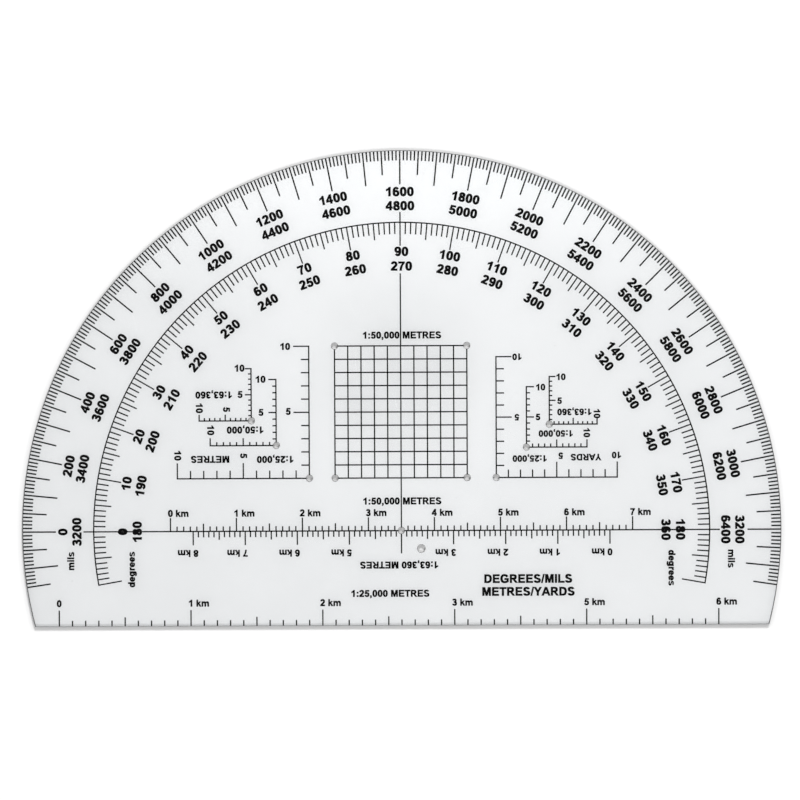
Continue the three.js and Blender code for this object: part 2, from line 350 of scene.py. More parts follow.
def spread_out(outline, by):
    """The outline with each side moved outwards."""
    outline = [Vector(point) for point in counter_clockwise(outline)]
    moved = []
    for before, point, after in zip(outline[-1:] + outline[:-1], outline, outline[1:] + outline[:1]):
        sides = [(point - before).normalized(), (after - point).normalized()]
        out = sum((Vector((side.y, -side.x)) for side in sides), ORIGIN)
        moved.append(point + out * by / max(0.5, 1 + sides[0].dot(sides[1])))
    return moved


def merged(outlines):
    """Points and triangles of the area that any of the outlines covers."""
    points, faces = [], []
    for outline in outlines:
        faces.append(range(len(points), len(points) + len(outline)))
        points += [Vector(point) for point in counter_clockwise(list(outline))]
    found, _, triangles, _, _, sources = delaunay_2d_cdt(points, [], faces, FILL_INSIDE, LETTER_GRAIN, True)
    return found, [triangle for triangle, source in zip(triangles, sources) if source]


def write(text, at, turn, height, stretch=1.0, first_on_mark=False):
    """Placed letters of a text, each as its character and its matrix.

    The text is turned by so many degrees about the given point, which lies at half its height and at the
    middle of its length, or of its first character's.
    """
    places, pen = [], 0.0
    for character in text:
        places.append((character, pen))
        pen += GLYPHS[character][0]
    if first_on_mark:
        middle = GLYPHS[text[0]][0] / 2
    else:
        reach = [pen + x for character, pen in places for outline in GLYPHS[character][1] for x, _ in outline]
        middle = (min(reach) + max(reach)) / 2
    base = (
        Matrix.Translation((at[0], at[1], 0))
        @ Matrix.Rotation(math.radians(turn), 4, "Z")
        @ Matrix.Diagonal((height * stretch, height, 1, 1))
    )
    return [(character, base @ Matrix.Translation((pen - middle, -0.5, 0))) for character, pen in places]


def lettering(letters):
    """Points and triangles of placed letters."""
    points, triangles, cut = [], [], {}
    for character, matrix in letters:
        if character not in cut:
            outlines = [spread_out(outline, settings().print.spread) for outline in GLYPHS[character][1]]
            cut[character] = merged(outlines) if outlines else ([], [])
        found, faces = cut[character]
        first = len(points)
        points += [(matrix @ point.to_3d()).to_2d() for point in found]
        triangles += [[first + corner for corner in face] for face in faces]
    return points, triangles


def strokes(outlines):
    """Points and faces of straight strokes, which have four corners each and don't meet."""
    points = [point for outline in outlines for point in outline]
    return points, [range(i, i + 4) for i in range(0, len(points), 4)]


def add_piece(name, vertices, faces, materials, stands_for=()):
    """A mesh laid out from the protractor's centre, moved into the frame and put on the sheet's body."""
    mesh = bpy.data.meshes.new(name)
    mesh.from_pydata([(x, y + centre_height, z) for x, y, z in vertices], [], faces)
    for material in materials:
        mesh.materials.append(material)
    piece = bpy.data.objects.new(name, mesh)
    bpy.context.scene.collection.objects.link(piece)
    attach(piece, "root")
    if stands_for:
        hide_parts(*stands_for)
    return piece


def leave_no_shadow(piece):
    """Keep the shadow of the ink off the table, where soft light through the sheet leaves none to see."""
    piece.visible_shadow = False


def print_on_sheet(name, drawing, stands_for=()):
    """A flat drawing as a layer of ink on the sheet's upper face."""
    points, faces = drawing
    if not faces:
        raise RuntimeError(f"{name} has nothing to print")
    count = len(points)
    low = rim_low.z + INK_LIFT
    high = low + settings().print.ink
    vertices = [(x, y, low) for x, y in points] + [(x, y, high) for x, y in points]
    sides = Counter(frozenset(pair) for face in faces for pair in zip(face, [*face[1:], face[0]]))
    solid = [[count + corner for corner in face] for face in faces]
    solid += [list(reversed(face)) for face in faces]
    for face in faces:
        for a, b in zip(face, [*face[1:], face[0]]):
            if sides[frozenset((a, b))] == 1:
                solid.append([a, b, count + b, count + a])
    leave_no_shadow(add_piece(name, vertices, solid, [printing_ink()], stands_for))


# Finishes

# The plastic's refractive index and the colour of light that passes it
PLASTIC_IOR = 1.54
PASSED_LIGHT = (0.97, 0.975, 0.975, 1)

# How far the sheet's shade on the table reaches from the round rim and from the straight edge
RIM_SHADE = 3.2 * MM
EDGE_SHADE = 2.6 * MM

# Distances from the centre between which the table pales, and by how much
TABLE_PALES = (180 * MM, 1500 * MM)
FAR_LIFT = 0.75


def new_tree(tree):
    """The node tree, emptied."""
    tree.nodes.clear()
    return tree


def add_node(tree, kind, inputs=None, **values):
    """A node with its settings and its inputs, each a value or another node's output."""
    node = tree.nodes.new(kind)
    for key, value in values.items():
        setattr(node, key, value)
    for key, value in (inputs or {}).items():
        if isinstance(value, bpy.types.NodeSocket):
            tree.links.new(value, node.inputs[key])
        else:
            node.inputs[key].default_value = value
    return node


def math_node(tree, operation, first, second, clamp=False):
    """Output of a sum, product or other operation on two values."""
    node = add_node(tree, "ShaderNodeMath", {0: first, 1: second}, operation=operation, use_clamp=clamp)
    return node.outputs[0]


def remap(tree, value, given=(0.0, 1.0), wanted=(0.0, 1.0), smooth=False):
    """A value carried from one range to another, and held within it."""
    node = add_node(tree, "ShaderNodeMapRange", {
        "Value": value, "From Min": given[0], "From Max": given[1], "To Min": wanted[0], "To Max": wanted[1]},
        interpolation_type="SMOOTHSTEP" if smooth else "LINEAR")
    return node.outputs[0]


def distance_from(tree, vector, point):
    """How far a vector lies from a fixed one."""
    node = add_node(tree, "ShaderNodeVectorMath", {0: vector, 1: point}, operation="DISTANCE")
    return node.outputs["Value"]


def effect(name, inputs, build):
    """A node group that several finishes share, made once."""
    tree = bpy.data.node_groups.get(name)
    if tree is None:
        tree = bpy.data.node_groups.new(name, "ShaderNodeTree")
        for label, value in inputs.items():
            socket = tree.interface.new_socket(label, in_out="INPUT", socket_type="NodeSocketFloat")
            socket.default_value = value
        tree.interface.new_socket("Mask", in_out="OUTPUT", socket_type="NodeSocketFloat")
        given = tree.nodes.new("NodeGroupInput").outputs
        place = add_node(tree, "ShaderNodeTexCoord").outputs["Object"]
        made = tree.nodes.new("NodeGroupOutput")
        tree.links.new(build(tree, given, place), made.inputs["Mask"])
    return tree


def cloudiness():
    """Slow, soft changes, as in slightly uneven plastic, thin ink or paper. Mask is 0.5 on average."""
    def build(tree, given, place):
        noise = add_node(tree, "ShaderNodeTexNoise", {
            "Vector": place, "Scale": given["Scale"], "Detail": given["Detail"], "Roughness": 0.55})
        return noise.outputs["Fac"]
    return effect("Cloudiness", {"Scale": 60.0, "Detail": 3.0}, build)


def scratches():
    """Hairlines in two directions. Mask is 1 on a hairline and 0 between them."""
    def build(tree, given, place):
        layers = []
        for turn, seed in ((0.35, 0.0), (-1.1, 7.3)):
            lengthened = add_node(tree, "ShaderNodeMapping", {
                "Vector": place, "Rotation": (0, 0, turn), "Location": (seed, seed, 0),
                "Scale": (1, 0.06, 1)})
            cells = add_node(tree, "ShaderNodeTexVoronoi", {
                "Vector": lengthened.outputs[0], "Scale": given["Scale"]},
                voronoi_dimensions="2D", feature="DISTANCE_TO_EDGE")
            layers.append(remap(tree, cells.outputs["Distance"], (0.0, given["Width"]), (1.0, 0.0)))
        patches = add_node(tree, "ShaderNodeTexNoise", {"Vector": place, "Scale": 90.0, "Detail": 1.0})
        shown = remap(tree, patches.outputs["Fac"], (0.5, 0.62))
        return math_node(tree, "MULTIPLY", math_node(tree, "MAXIMUM", *layers), shown)
    return effect("Hairline Scratches", {"Scale": 260.0, "Width": 0.02}, build)


def specks():
    """Scattered dots: dust on plastic, pinholes in ink. Mask is 1 in a dot."""
    def build(tree, given, place):
        cells = add_node(tree, "ShaderNodeTexVoronoi", {"Vector": place, "Scale": given["Scale"]})
        dot = remap(tree, cells.outputs["Distance"], (given["Size"], 0.0))
        chance = add_node(tree, "ShaderNodeSeparateColor", {"Color": cells.outputs["Color"]})
        kept = math_node(tree, "LESS_THAN", chance.outputs["Red"], given["Share"])
        return math_node(tree, "MULTIPLY", dot, kept)
    return effect("Specks", {"Scale": 900.0, "Size": 0.2, "Share": 0.1}, build)


def use(tree, group, **inputs):
    """Mask of a shared effect, placed with its own values."""
    node = add_node(tree, "ShaderNodeGroup", node_tree=group)
    for key, value in inputs.items():
        node.inputs[key.capitalize()].default_value = value
    return node.outputs["Mask"]


def start_finish(name):
    """The finish of that name and, if it is new, its empty node tree."""
    material = bpy.data.materials.get(name)
    if material is not None:
        return material, None
    material = bpy.data.materials.new(name)
    material.use_nodes = True
    return material, new_tree(material.node_tree)


def blend_colours(tree, amount, first, second):
    """Colour between two, by a mask. A Mix node's colours are its inputs 6 and 7 and its output 2."""
    mixer = add_node(tree, "ShaderNodeMix", {0: amount, 6: first, 7: second}, data_type="RGBA")
    return mixer.outputs[2]


def shaded(colour, by):
    """A colour made darker or lighter, in the form that sockets take."""
    return tuple(min(1.0, channel * by) for channel in colour) + (1.0,)


def mix_shaders(tree, amount, first, second):
    """The first shader and, by a mask, the second."""
    return add_node(tree, "ShaderNodeMixShader", {0: amount, 1: first.outputs[0], 2: second.outputs[0]})


def set_surface(tree, shader):
    """Put the shader on the surface."""
    add_node(tree, "ShaderNodeOutputMaterial", {"Surface": shader.outputs[0]})


def clear_plastic():
    """Clear rigid plastic, a little cloudy, with hairlines and dust on its faces. Lamps shine through it."""
    material, tree = start_finish("sheet_plastic")
    if tree is None:
        return material
    tint = settings().finish.plastic
    cloud = use(tree, cloudiness(), scale=55.0, detail=4.0)
    lines = use(tree, scratches(), scale=260.0, width=0.016)
    dust = use(tree, specks(), scale=600.0, size=0.2, share=0.004)
    colour = blend_colours(tree, cloud, shaded(tint, 0.965), shaded(tint, 1.03))
    colour = blend_colours(tree, math_node(tree, "MULTIPLY", dust, 0.6), colour, shaded(tint, 0.6))
    rough = remap(tree, cloud, wanted=(0.02, 0.07))
    rough = math_node(tree, "ADD", rough, math_node(tree, "MULTIPLY", lines, 0.12), clamp=True)
    relief = math_node(
        tree, "SUBTRACT", math_node(tree, "MULTIPLY", cloud, 0.4), math_node(tree, "MULTIPLY", lines, 0.2))
    bump = add_node(tree, "ShaderNodeBump", {"Height": relief, "Strength": 0.05, "Distance": 0.05 * MM})
    plastic = add_node(tree, "ShaderNodeBsdfPrincipled", {
        "Base Color": colour, "Roughness": rough, "Normal": bump.outputs[0], "Metallic": 0.0,
        "Transmission Weight": 1.0, "IOR": PLASTIC_IOR})
    passed = add_node(tree, "ShaderNodeBsdfTransparent", {"Color": PASSED_LIGHT})
    path = add_node(tree, "ShaderNodeLightPath").outputs
    free = math_node(tree, "MAXIMUM", path["Is Shadow Ray"], path["Is Diffuse Ray"])
    set_surface(tree, mix_shaders(tree, free, plastic, passed))
    return material


def cut_plastic(name, tint, lamps, room):
    """Plastic left milky by the saw or the drill, with fine marks, so that it shades the table.

    It lets the given share of the lamps' light through to what lies under the sheet, and that of the room's.
    Its tint is painted shade: darker than milky plastic, it stands in for the dark line that light bent at the
    cut leaves.
    """
    material, tree = start_finish(name)
    if tree is None:
        return material
    cloud = use(tree, cloudiness(), scale=900.0, detail=3.0)
    marks = use(tree, scratches(), scale=2400.0, width=0.2)
    # Painted shade: the dark tint darkens the cut face, and the cloud varies it at random.
    colour = blend_colours(tree, cloud, shaded(tint, 0.86), shaded(tint, 1.12))
    rough = remap(tree, cloud, wanted=(0.3, 0.55))
    relief = math_node(tree, "ADD", cloud, marks)
    bump = add_node(tree, "ShaderNodeBump", {"Height": relief, "Strength": 0.4, "Distance": 0.03 * MM})
    plastic = add_node(tree, "ShaderNodeBsdfPrincipled", {
        "Base Color": colour, "Roughness": rough, "Normal": bump.outputs[0], "Metallic": 0.0,
        "Transmission Weight": 0.2, "IOR": PLASTIC_IOR})
    passed = add_node(tree, "ShaderNodeBsdfTransparent", {"Color": PASSED_LIGHT})
    path = add_node(tree, "ShaderNodeLightPath").outputs
    inside = add_node(tree, "ShaderNodeNewGeometry").outputs["Backfacing"]
    lamp_light = math_node(tree, "MULTIPLY", path["Is Shadow Ray"], inside)
    lamp_light = math_node(tree, "MULTIPLY", lamp_light, lamps)
    room_light = math_node(tree, "MULTIPLY", path["Is Diffuse Ray"], room)
    free = math_node(tree, "MAXIMUM", lamp_light, room_light)
    set_surface(tree, mix_shaders(tree, free, plastic, passed))
    return material


def printing_ink():
    """Black printing ink, a little thinner in places, with pinholes and worn hairlines."""
    material, tree = start_finish("printing_ink")
    if tree is None:
        return material
    tint = settings().finish.ink
    density = use(tree, cloudiness(), scale=420.0, detail=4.0)
    holes = use(tree, specks(), scale=2600.0, size=0.16, share=0.05)
    worn = use(tree, scratches(), scale=260.0, width=0.016)
    colour = blend_colours(tree, density, shaded(tint, 0.6), shaded(tint, 2.2))
    wear = math_node(tree, "MULTIPLY", math_node(tree, "MAXIMUM", holes, worn), 0.25)
    colour = blend_colours(tree, wear, colour, (0.12, 0.12, 0.12, 1))
    rough = remap(tree, density, wanted=(0.34, 0.56))
    bump = add_node(tree, "ShaderNodeBump", {
        "Height": math_node(tree, "SUBTRACT", density, wear), "Strength": 0.25, "Distance": 0.01 * MM})
    ink = add_node(tree, "ShaderNodeBsdfPrincipled", {
        "Base Color": colour, "Roughness": rough, "Normal": bump.outputs[0], "Metallic": 0.0,
        "Specular IOR Level": 0.03})
    set_surface(tree, ink)
    return material


def table_top():
    """Plain pale board, lifted to white for the camera round the sheet and far away.

    Seen from below it is left out, so that the sheet's underside shows.
    """
    material, tree = start_finish("table_top")
    if tree is None:
        return material
    tint, sheet = settings().finish.table, settings().sheet
    cloud = use(tree, cloudiness(), scale=30.0, detail=2.0)
    colour = blend_colours(tree, cloud, shaded(tint, 0.995), shaded(tint, 1.005))
    place = add_node(tree, "ShaderNodeTexCoord").outputs["Object"]
    away = distance_from(tree, place, (0, centre_height, 0))
    round_sheet = remap(tree, away, (sheet.radius, sheet.radius + RIM_SHADE), smooth=True)
    height = add_node(tree, "ShaderNodeSeparateXYZ", {0: place}).outputs["Y"]
    straight_edge = centre_height - sheet.centre_to_edge
    below_sheet = remap(tree, height, (straight_edge, straight_edge - EDGE_SHADE), smooth=True)
    far_away = remap(tree, away, TABLE_PALES, (0.0, FAR_LIFT), smooth=True)
    near = math_node(tree, "MAXIMUM", round_sheet, below_sheet)
    lift = math_node(tree, "MULTIPLY", near, settings().stage.backdrop)
    lift = math_node(tree, "ADD", lift, far_away)
    seen = add_node(tree, "ShaderNodeLightPath").outputs["Is Camera Ray"]
    board = add_node(tree, "ShaderNodeBsdfPrincipled", {
        "Base Color": colour, "Roughness": 1.0, "Metallic": 0.0, "Specular IOR Level": 0.0,
        "Emission Color": (1, 1, 1, 1), "Emission Strength": math_node(tree, "MULTIPLY", lift, seen)})
    below = math_node(tree, "MULTIPLY", seen, add_node(tree, "ShaderNodeNewGeometry").outputs["Backfacing"])
    clear = add_node(tree, "ShaderNodeBsdfTransparent")
    set_surface(tree, mix_shaders(tree, below, board, clear))
    return material


# The sheet

def romer_corners(side, shares):
    """Corners of the romers on one side of the square, the largest romer's first."""
    steps = [share * ROMER_ROOM for share in shares]
    return [Vector((side * (SQUARE_HALF + step), SQUARE_FOOT + step - steps[0])) for step in steps]


def hole_places():
    """Centres and diameters of the drilled holes."""
    sheet = settings().sheet
    corners = [Vector((x, y)) for x in (-SQUARE_HALF, SQUARE_HALF) for y in (SQUARE_FOOT, SQUARE_TOP)]
    pencil = [ORIGIN, *corners, *romer_corners(-1, METRE_SHARES), *romer_corners(1, YARD_SHARES)]
    return [(centre, sheet.pencil_hole) for centre in pencil] + [(SPARE_HOLE_PLACE, sheet.spare_hole)]


def sheet_loops(inset, rim_steps=720, hole_steps=64):
    """The sheet's outline, counter-clockwise, and its holes, clockwise, all inset into the plastic."""
    sheet = settings().sheet
    radius = sheet.radius - inset
    past_level = math.degrees(math.asin((sheet.centre_to_edge - inset) / radius))
    sweep = 180 + 2 * past_level
    loops = [[on_ring(sweep * i / rim_steps - past_level, radius) for i in range(rim_steps + 1)]]
    for centre, diameter in hole_places():
        ring = [centre + on_ring(-360 * i / hole_steps, diameter / 2 + inset) for i in range(hole_steps)]
        loops.append(ring)
    return loops


def edge_profile(steps=3):
    """Inset and height of the cut edge from the lower face to the upper one, eased at both."""
    sheet = settings().sheet
    turns = [math.pi / 2 * i / steps for i in range(steps + 1)]
    eased = sheet.eased_edge
    lower = [(eased * (1 - math.sin(turn)), eased * (1 - math.cos(turn))) for turn in turns]
    return lower + [(inset, sheet.thickness - height) for inset, height in reversed(lower)]


def face_triangles(loops):
    """Triangles of a face of the sheet, without its holes. Corners are numbered through all loops."""
    points, pairs = [], []
    for loop in loops:
        first, count = len(points), len(loop)
        points += loop
        pairs += [(first + i, first + (i + 1) % count) for i in range(count)]
    found, _, triangles, sources, _, _ = delaunay_2d_cdt(points, pairs, [], FILL_INSIDE, SHEET_GRAIN, True)
    kept = []
    for triangle in triangles:
        middle = sum((found[corner] for corner in triangle), ORIGIN) / 3
        if all((middle - centre).length > diameter / 2 for centre, diameter in hole_places()):
            kept.append([sources[corner][0] for corner in triangle])
    return kept


class MAP_PROTRACTOR_OT_add_sheet(Operator):
    """Add the clear sheet with its eased edges and drilled holes."""

    bl_idname = "map_protractor.add_sheet"
    bl_label = "Add Clear Sheet"
    bl_options = {"REGISTER", "UNDO"}

    def execute(self, context):
        vertices, walls, rings = [], [], []
        for inset, height in edge_profile():
            loops = sheet_loops(inset)
            rings.append(loops)
            vertices += [(*point, height) for loop in loops for point in loop]
        per_ring = sum(len(loop) for loop in rings[0])
        for level in range(len(rings) - 1):
            first = level * per_ring
            for loop in rings[0]:
                count = len(loop)
                for i in range(count):
                    a, b = first + i, first + (i + 1) % count
                    walls.append([a, b, b + per_ring, a + per_ring])
                first += count
        triangles = face_triangles(rings[0])
        top = (len(rings) - 1) * per_ring
        faces = [list(reversed(triangle)) for triangle in triangles]
        faces += [[top + corner for corner in triangle] for triangle in triangles]
        finish = settings().finish
        materials = [
            clear_plastic(),
            # The cut rim, straight edge and hole walls carry painted shade in their dark colours.
            cut_plastic("round_rim_painted_shade", finish.round_rim_painted_shade, lamps=0.85, room=0.0),
            cut_plastic("sawn_edge_painted_shade", finish.sawn_edge_painted_shade, lamps=0.0, room=0.0),
            cut_plastic("drilled_wall_painted_shade", finish.drilled_wall_painted_shade, lamps=1.0, room=0.3),
        ]
        piece = add_piece(
            "protractor_sheet", vertices, faces + walls, materials, ["clear_sheet"])

        # Each level has the walls of the round rim, the one of the straight edge and those of the holes
        straight = len(rings[0][0]) - 1
        for i, polygon in enumerate(piece.data.polygons[len(faces):]):
            polygon.use_smooth = True
            place = i % per_ring
            polygon.material_index = 1 if place < straight else 2 if place == straight else 3
        return {"FINISHED"}


# The print

# Ticks of the mil scale in a whole turn, ticks below the level at each end, and their lengths in millimetres:
# the usual ones, every fifth and every tenth
MIL_TICKS = 640
MIL_TICKS_BELOW = 15
MIL_TICK_LENGTHS = (2.9, 7.2, 10.1)

# Steps of the scale on the straight edge, and the lengths of its ticks
EDGE_STEPS = 50
EDGE_TICK_LENGTHS = (1.9, 2.9, 5)

# Gap between the ticks' ends and the eased edge of the sheet
TICK_GAP = 0.03 * MM

# Half a turn in mils and in degrees
MILS, DEGREES = 3200, 180

# Rows of ring numerals: name, radius in millimetres, half a turn in the row's unit, step, and the first value
RING_ROWS = (
    ("mil_numerals_outer", 102.55, MILS, 200, 0),
    ("mil_numerals_inner", 98.3, MILS, 200, MILS),
    ("degree_numerals_outer", 84.5, DEGREES, 10, 0),
    ("degree_numerals_inner", 80.1, DEGREES, 10, DEGREES),
)

# Millimetres that ring numerals are printed off their ticks: those of the mils to the left, apart from the
# topmost, and some of the degrees clockwise
MIL_SLIP = 0.12
DEGREE_SLIP = 0.37
SLIPPED_DEGREES = range(80, 171)

# Kilometres of the two base scales, and heights of their labels and of those on the straight edge. The lower
# scale has no 4, and its 8 stands off its tick.
UPPER_KILOMETRES = 7
LOWER_KILOMETRES = 8
LOWER_LABELS = (0, 1, 2, 3, 5, 6, 7, 8)
UPPER_LABEL_HEIGHT = 5.5 * MM
LOWER_LABEL_HEIGHT = -6.7 * MM
EDGE_LABEL_HEIGHT = -21.8 * MM
LAST_LABEL_SLIP = 0.8 * MM

# Ring numerals and words are this much wider than their outlines
RING_STRETCH = 1.05
WORD_STRETCH = 1.02


def tick_length(count, short, half, long):
    """A tick's length, by whether its number is one of ten, of five or neither."""
    if count % 10 == 0:
        return long
    return half if count % 5 == 0 else short


class MAP_PROTRACTOR_OT_add_ticks(Operator):
    """Add the mil ticks round the rim and the kilometre ticks on the straight edge."""

    bl_idname = "map_protractor.add_ticks"
    bl_label = "Add Rim and Edge Ticks"
    bl_options = {"REGISTER", "UNDO"}

    def execute(self, context):
        sheet, width, rim_width = settings().sheet, settings().print.line, settings().print.rim_line
        to_edge = sheet.eased_edge + TICK_GAP
        rim, ink_rim = sheet.radius - to_edge, rim_high.x
        ticks = []
        for count in range(-MIL_TICKS_BELOW, MIL_TICKS // 2 + MIL_TICKS_BELOW + 1):
            degrees = 180 - count * 360 / MIL_TICKS
            foot = ink_rim - tick_length(count, *MIL_TICK_LENGTHS) * MM
            ticks.append(stroke(on_ring(degrees, foot), on_ring(degrees, rim), rim_width))
        print_on_sheet("rim_ticks", strokes(ticks), ["mil_scale_print"])

        foot = to_edge - sheet.centre_to_edge
        start, end = edge_low.x + width / 2, edge_high.x - width / 2
        ticks = []
        for count in range(EDGE_STEPS + 1):
            x = start + (end - start) * count / EDGE_STEPS
            top = tick_length(count, *EDGE_TICK_LENGTHS) * MM - sheet.centre_to_edge
            ticks.append(stroke(Vector((x, foot)), Vector((x, top)), width))
        print_on_sheet("straight_edge_ticks", strokes(ticks), ["edge_scale_print"])
        return {"FINISHED"}


class MAP_PROTRACTOR_OT_ink_lines(Operator):
    """Give the frame's printed lines their ink."""

    bl_idname = "map_protractor.ink_lines"
    bl_label = "Ink the Printed Lines"
    bl_options = {"REGISTER", "UNDO"}

    def execute(self, context):
        for name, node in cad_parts.items():
            if name == "clear_sheet":
                continue
            if not node.material_slots:
                raise RuntimeError(f"{name} has no material slot")
            for slot in node.material_slots:
                slot.material = printing_ink()
            leave_no_shadow(node)
        return {"FINISHED"}


class MAP_PROTRACTOR_OT_add_ring_numerals(Operator):
    """Add both rows of mil numerals and both rows of degree numerals."""

    bl_idname = "map_protractor.add_ring_numerals"
    bl_label = "Add Mil and Degree Numerals"
    bl_options = {"REGISTER", "UNDO"}

    def execute(self, context):
        height = settings().print.ring_numeral
        for name, radius, half_turn, step, first in RING_ROWS:
            letters = []
            for value in range(0, half_turn + 1, step):
                degrees = 180 - value * 180 / half_turn
                if half_turn == DEGREES and value in SLIPPED_DEGREES:
                    degrees -= math.degrees(DEGREE_SLIP / radius)
                at = on_ring(degrees, radius * MM)
                if half_turn == MILS and value != MILS // 2:
                    at.x -= MIL_SLIP * MM
                letters += write(str(first + value), at, degrees - 90, height, RING_STRETCH)
            print_on_sheet(name, lettering(letters))
        return {"FINISHED"}


class MAP_PROTRACTOR_OT_add_distance_labels(Operator):
    """Add the kilometre labels of the three distance scales."""

    bl_idname = "map_protractor.add_distance_labels"
    bl_label = "Add Kilometre Labels"
    bl_options = {"REGISTER", "UNDO"}

    def execute(self, context):
        height = settings().print.label
        kilometre = MAPS["1:50,000"]
        upper = []
        for count in range(UPPER_KILOMETRES + 1):
            at = ((count - UPPER_KILOMETRES / 2) * kilometre, UPPER_LABEL_HEIGHT)
            upper += write(f"{count} km", at, 0, height, first_on_mark=True)
        print_on_sheet("upper_scale_labels", lettering(upper))

        kilometre = MAPS["1:63,360"]
        lower = []
        for count in LOWER_LABELS:
            along = (LOWER_KILOMETRES / 2 - count) * kilometre
            if count == LOWER_KILOMETRES:
                along += LAST_LABEL_SLIP
            lower += write(f"{count} km", (along, LOWER_LABEL_HEIGHT), 180, height, first_on_mark=True)
        print_on_sheet("lower_scale_labels", lettering(lower))

        start = edge_low.x + settings().print.line / 2
        edge = []
        for place, text in enumerate(("0", "1 km", "2 km", "3 km", "5 km", "6 km")):
            at = (start + place * MAPS["1:25,000"], EDGE_LABEL_HEIGHT)
            edge += write(text, at, 0, height, first_on_mark=True)
        print_on_sheet("edge_scale_labels", lettering(edge))
        return {"FINISHED"}


# Labels: text, its middle in millimetres from the centre, and its turn in degrees
METRE_ROMER_LABELS = (
    ("10", -34.9, 55.95, 0), ("5", -34.1, 36.3, 0), ("10", -42.4, 46.05, 0), ("5", -42.35, 36.05, 0),
    ("10", -48.75, 49.45, 0), ("5", -48.65, 41.5, 0),
    ("10", -67.65, 23, -90), ("5", -47.65, 22.9, -90), ("10", -57.6, 30.65, -90),
    ("10", -61, 37.35, -90), ("5", -52.75, 36.95, -90),
    ("METRES", -57.85, 21.85, 180), ("1:25,000", -38.15, 21.75, 180), ("1:50,000", -47.2, 30.7, 180),
    ("1:63,360", -56.65, 41.35, 180),
)
YARD_ROMER_LABELS = (
    ("10", 35.15, 52.5, 180), ("5", 35.1, 34.2, 180), ("10", 42.3, 43.3, 0), ("5", 41.45, 34.3, 0),
    ("10", 48.45, 46.4, 0), ("5", 48, 39.2, 0),
    ("10", 65.15, 22.65, 180), ("5", 48.35, 22.5, 180), ("10", 56.2, 29.45, -90), ("10", 59.3, 35.2, -90),
    ("YARDS", 55.95, 22.05, 180), ("1:25,000", 38.9, 21.7, 180), ("1:50,000", 46.8, 29.25, 180),
    ("1:63,360", 52.45, 35.75, 180),
)
SCALE_NAMES = (
    ("1:50,000 METRES", 0.3, 9, 0), ("1:50,000 METRES", 0.45, 59.25, 0),
    ("1:63,360 METRES", -0.75, -10.45, 180), ("1:25,000 METRES", -3.45, -19.05, 0),
)
UNIT_NAMES = (
    ("mils", -100.35, -8.85, 90), ("mils", 99.9, -8.9, -90), ("degrees", -81.95, -11.5, 90),
    ("degrees", 81.9, -11.6, -90),
)
LEGEND = (("DEGREES/MILS", 38.35, -14.7, 0), ("METRES/YARDS", 38.4, -18.6, 0))


def print_labels(name, labels, height):
    """Print several labels as one piece."""
    letters = []
    for text, x, y, turn in labels:
        letters += write(text, (x * MM, y * MM), turn, height, WORD_STRETCH)
    print_on_sheet(name, lettering(letters))


class MAP_PROTRACTOR_OT_add_words(Operator):
    """Add the romers' labels, the names of scales and units, and the legend."""

    bl_idname = "map_protractor.add_words"
    bl_label = "Add Romer Labels and Words"
    bl_options = {"REGISTER", "UNDO"}

    def execute(self, context):
        sizes = settings().print
        print_labels("metre_romer_labels", METRE_ROMER_LABELS, sizes.label)
        print_labels("yard_romer_labels", YARD_ROMER_LABELS, sizes.small_label)
        print_labels("scale_names", SCALE_NAMES, sizes.label)
        print_labels("unit_names", UNIT_NAMES, sizes.label)
        print_labels("legend", LEGEND, sizes.legend)
        return {"FINISHED"}


# The stage

# Half the table's side, and its gap under the sheet
TABLE_HALF = 4.0
TABLE_GAP = 0.05 * MM

# Places of the lamps
KEY_PLACE = Vector((140, 720, 900)) * MM
FILL_PLACE = Vector((40, -500, 1120)) * MM

# The camera's lean from straight above in degrees, the point it looks at in millimetres from the centre, the
# width of its sensor in millimetres and how far it sees in metres
CAMERA_LEAN = (-2.1, 0.47, -0.27)
CAMERA_AIM = (-0.25, 39.6)
SENSOR_WIDTH = 36
SIGHT = 20

# Direction in which the sheet mirrors the lens above it
LENS_WAY = (-0.0084, -0.0261, 0.9996)


def mirrored_lens(tree, way):
    """The round dark lens as the sheet mirrors it, in a paler field."""
    off = distance_from(tree, way, LENS_WAY)
    field = remap(tree, off, (0.027, 0.062), (0.45, 0.0), smooth=True)
    glass = remap(tree, off, (0.012, 0.026), (-0.85, -0.45))
    inside = remap(tree, off, (0.0252, 0.0268), (1.0, 0.0))
    return math_node(tree, "ADD", field, math_node(tree, "MULTIPLY", glass, inside))


def ceiling_glow(tree):
    """How much brighter or darker than plain white the ceiling is that the sheet mirrors.

    Nearly overhead are a soft lamp on the far side, a dim corner on the left, and the lens.
    """
    way = add_node(tree, "ShaderNodeTexCoord").outputs["Generated"]
    lens = mirrored_lens(tree, way)
    way = add_node(tree, "ShaderNodeSeparateXYZ", {0: way}).outputs
    lamp = remap(tree, way["Y"], (-0.01, 0.04), (0.0, 1.7), smooth=True)
    dim = remap(tree, way["X"], (-0.12, 0.0), (-0.25, 0.0))
    overhead = remap(tree, way["Z"], (0.97, 0.985))
    glow = math_node(tree, "ADD", math_node(tree, "ADD", lamp, dim), lens)
    return math_node(tree, "MULTIPLY", glow, overhead)


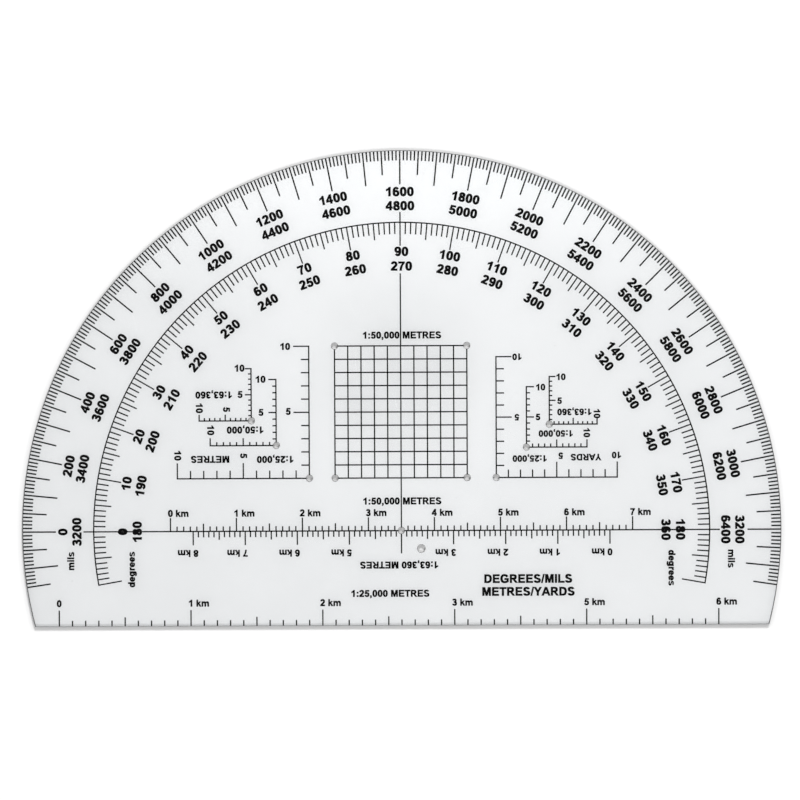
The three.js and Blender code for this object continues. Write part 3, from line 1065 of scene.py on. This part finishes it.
class MAP_PROTRACTOR_OT_set_stage(Operator):
    """Set the table, the lamps, the room light and the camera."""

    bl_idname = "map_protractor.set_stage"
    bl_label = "Set Stage"
    bl_options = {"REGISTER", "UNDO"}

    def execute(self, context):
        scene, stage = context.scene, settings().stage
        mesh = bpy.data.meshes.new("table")
        corners = [(x * TABLE_HALF, y * TABLE_HALF, -TABLE_GAP) for x, y in block(-1, -1, 1, 1)]
        mesh.from_pydata(corners, [], [(0, 1, 2, 3)])
        mesh.materials.append(table_top())
        table = bpy.data.objects.new("table", mesh)
        scene.collection.objects.link(table)

        for name, share, place in (("key", stage.key, KEY_PLACE), ("fill", stage.fill, FILL_PLACE)):
            panel = bpy.data.lights.new(name, "AREA")
            panel.size = stage.lamp_size
            # The power at which a white table shows this share of white
            panel.energy = share * math.pi ** 2 * place.length ** 3 / place.z
            holder = bpy.data.objects.new(name, panel)
            holder.location = place
            holder.rotation_euler = place.to_track_quat("Z", "Y").to_euler()
            holder.visible_glossy = holder.visible_transmission = False
            scene.collection.objects.link(holder)

        world = bpy.data.worlds.new("room")
        scene.world = world
        world.use_nodes = True
        tree = new_tree(world.node_tree)
        path = add_node(tree, "ShaderNodeLightPath").outputs
        seen = math_node(tree, "MAXIMUM", path["Is Camera Ray"], path["Is Glossy Ray"])
        seen = math_node(tree, "MAXIMUM", seen, path["Is Transmission Ray"])
        seen = math_node(tree, "MULTIPLY", seen, math_node(tree, "LESS_THAN", path["Diffuse Depth"], 0.5))
        ceiling = math_node(tree, "MULTIPLY", ceiling_glow(tree), path["Is Glossy Ray"])
        level = remap(tree, seen, wanted=(stage.room, math_node(tree, "ADD", ceiling, 1.0)))
        light = add_node(tree, "ShaderNodeBackground", {"Color": (1, 1, 1, 1), "Strength": level})
        add_node(tree, "ShaderNodeOutputWorld", {"Surface": light.outputs[0]})

        camera = bpy.data.cameras.new("camera")
        camera.lens = stage.lens
        camera.sensor_width = SENSOR_WIDTH
        distance = stage.width_seen * camera.lens / camera.sensor_width
        holder = bpy.data.objects.new("camera", camera)
        lean = Euler([math.radians(turn) for turn in CAMERA_LEAN])
        right, up = CAMERA_AIM
        aim = Vector((right * MM, centre_height + up * MM, settings().sheet.thickness))
        holder.location = aim + lean.to_matrix() @ Vector((0, 0, distance))
        holder.rotation_euler = lean
        camera.clip_end = SIGHT
        scene.collection.objects.link(holder)
        scene.camera = holder

        scene.view_settings.view_transform = "Standard"
        return {"FINISHED"}


class MAP_PROTRACTOR_PT_parts(Panel):
    """Lists the protractor's operators in the sidebar."""

    bl_label = "Map Protractor"
    bl_space_type = "VIEW_3D"
    bl_region_type = "UI"
    bl_category = "Map Protractor"

    def draw(self, context):
        for operator in OPERATORS:
            self.layout.operator(operator.bl_idname)


OPERATORS = (
    MAP_PROTRACTOR_OT_set_stage,
    MAP_PROTRACTOR_OT_add_sheet,
    MAP_PROTRACTOR_OT_ink_lines,
    MAP_PROTRACTOR_OT_add_ticks,
    MAP_PROTRACTOR_OT_add_ring_numerals,
    MAP_PROTRACTOR_OT_add_distance_labels,
    MAP_PROTRACTOR_OT_add_words,
)
CLASSES = (
    ProtractorSheet, ProtractorPrint, ProtractorFinish, ProtractorStage, ProtractorSettings, *OPERATORS,
    MAP_PROTRACTOR_PT_parts,
)


def register():
    for cls in CLASSES:
        bpy.utils.register_class(cls)
    bpy.types.Scene.map_protractor = PointerProperty(type=ProtractorSettings)


def unregister():
    del bpy.types.Scene.map_protractor
    for cls in reversed(CLASSES):
        bpy.utils.unregister_class(cls)


def main():
    """Build everything."""
    register()
    bpy.ops.map_protractor.set_stage()
    bpy.ops.map_protractor.add_sheet()
    bpy.ops.map_protractor.ink_lines()
    bpy.ops.map_protractor.add_ticks()
    bpy.ops.map_protractor.add_ring_numerals()
    bpy.ops.map_protractor.add_distance_labels()
    bpy.ops.map_protractor.add_words()


if __name__ == "__main__":
    main()
